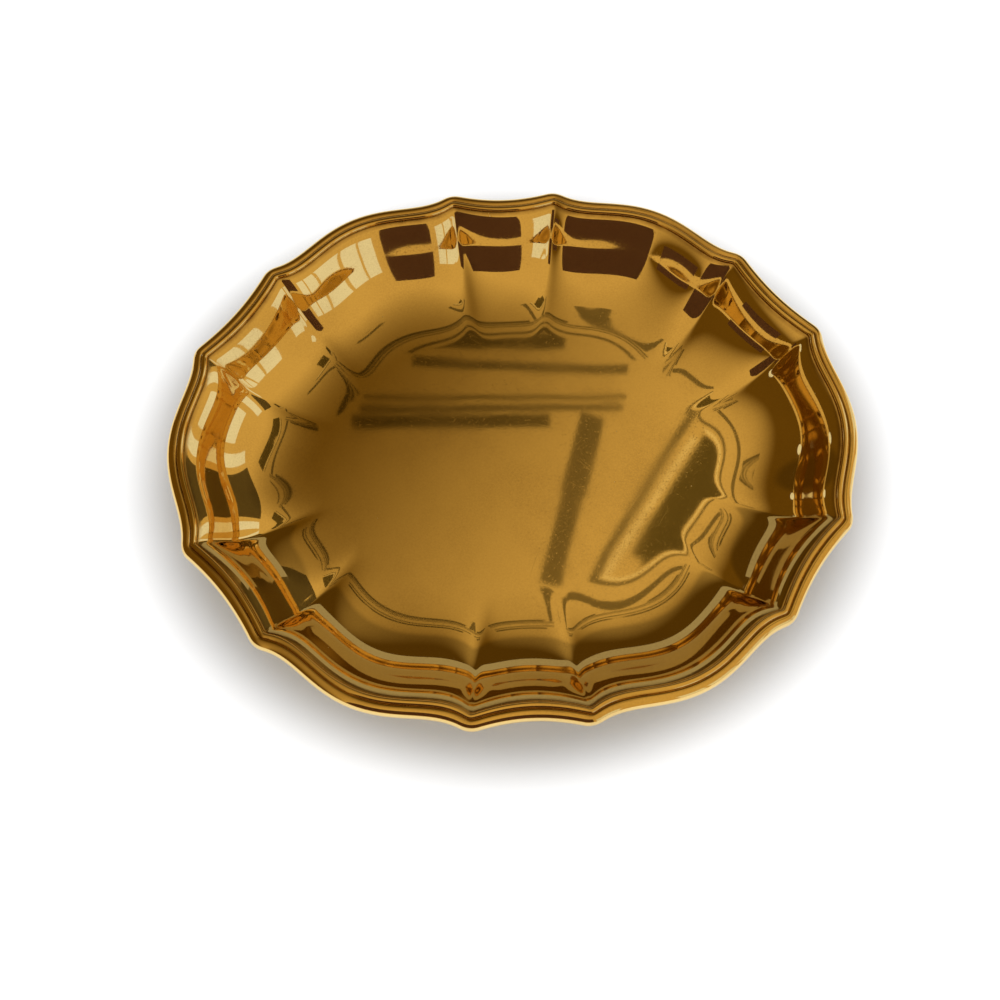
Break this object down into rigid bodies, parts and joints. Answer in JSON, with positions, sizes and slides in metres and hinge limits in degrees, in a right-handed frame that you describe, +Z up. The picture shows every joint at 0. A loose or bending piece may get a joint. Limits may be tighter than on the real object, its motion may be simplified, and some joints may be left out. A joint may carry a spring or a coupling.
{
  "type": "vanity tray",
  "caption": "Oval polished brass vanity tray with a flat floor, a fluted ogee wall and a scalloped, beaded border with a turned-down lip, for holding toiletries and jewellery.",
  "frame": {"origin": "middle of the floor's flat underside, which the tray stands on", "axes": "+X along the oval's long axis, +Y along its short axis, +Z up out of the tray"},
  "size_m": [0.3008, 0.2496, 0.0313],
  "materials": {
    "polished_sheet": "mirror-polished gold-tone brass sheet with fine scratches",
    "polished_border": "mirror-polished gold-tone brass moulding, darker in its grooves",
    "drawn_wire": "bare drawn brass wire"
  },
  "bodies": {
    "root": {"tray_dish": "polished_sheet", "rim_border": "polished_border", "rim_wire": "drawn_wire"}
  },
  "joints": []
}
